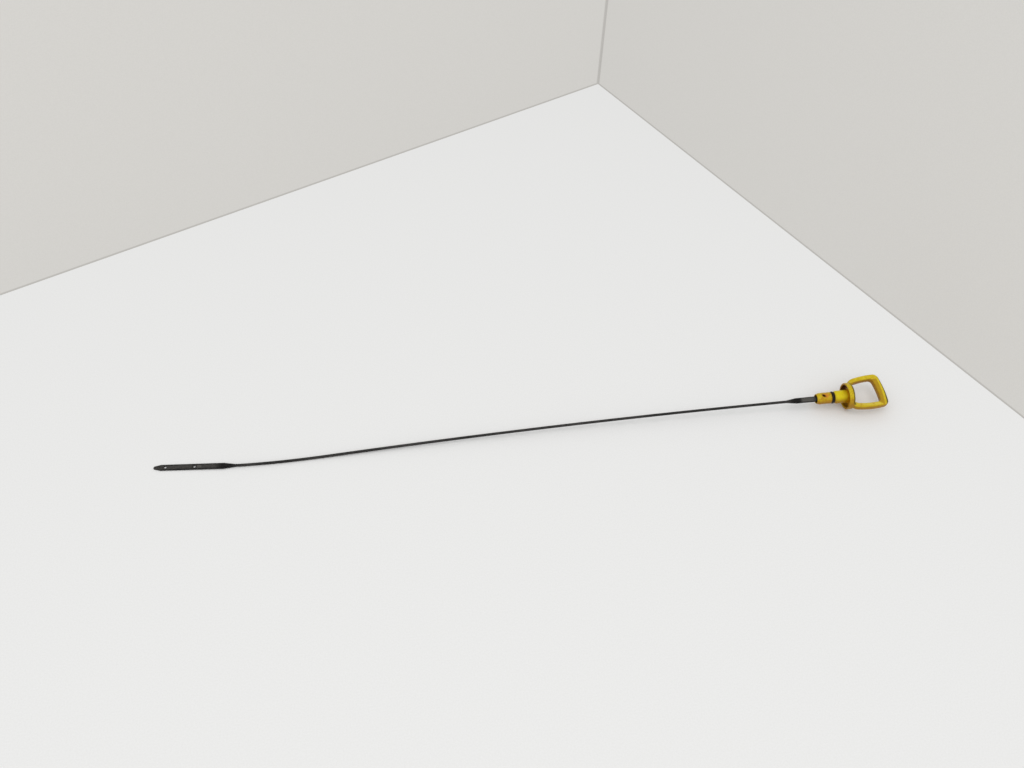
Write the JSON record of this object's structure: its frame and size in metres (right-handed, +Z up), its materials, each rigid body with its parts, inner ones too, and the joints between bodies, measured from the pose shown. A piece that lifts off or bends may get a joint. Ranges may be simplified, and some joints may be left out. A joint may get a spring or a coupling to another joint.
{
  "type": "engine oil dipstick",
  "caption": "Engine oil dipstick: a finger-loop plastic grip with a sealed stem and cup, on a long bent wire rod flattened to a gauge blade with level holes.",
  "frame": {"origin": "on the surface that the part lies on, below the middle of its length and of its loop's width", "axes": "+X from the blade towards the grip, +Y across the rod, away from the side that the rod bows to, +Z up"},
  "size_m": [0.5955, 0.0313, 0.0221],
  "materials": {
    "grip_plastic": "yellow, worn satin, with brown oil staining in the cup",
    "ring_rubber": "black, oily",
    "rod_steel": "dark oiled spring steel, with paler rubbed faces on the blade and tang"
  },
  "bodies": {
    "root": {"handle": "grip_plastic", "o_ring": "ring_rubber", "gauge_rod": "rod_steel"}
  },
  "joints": []
}
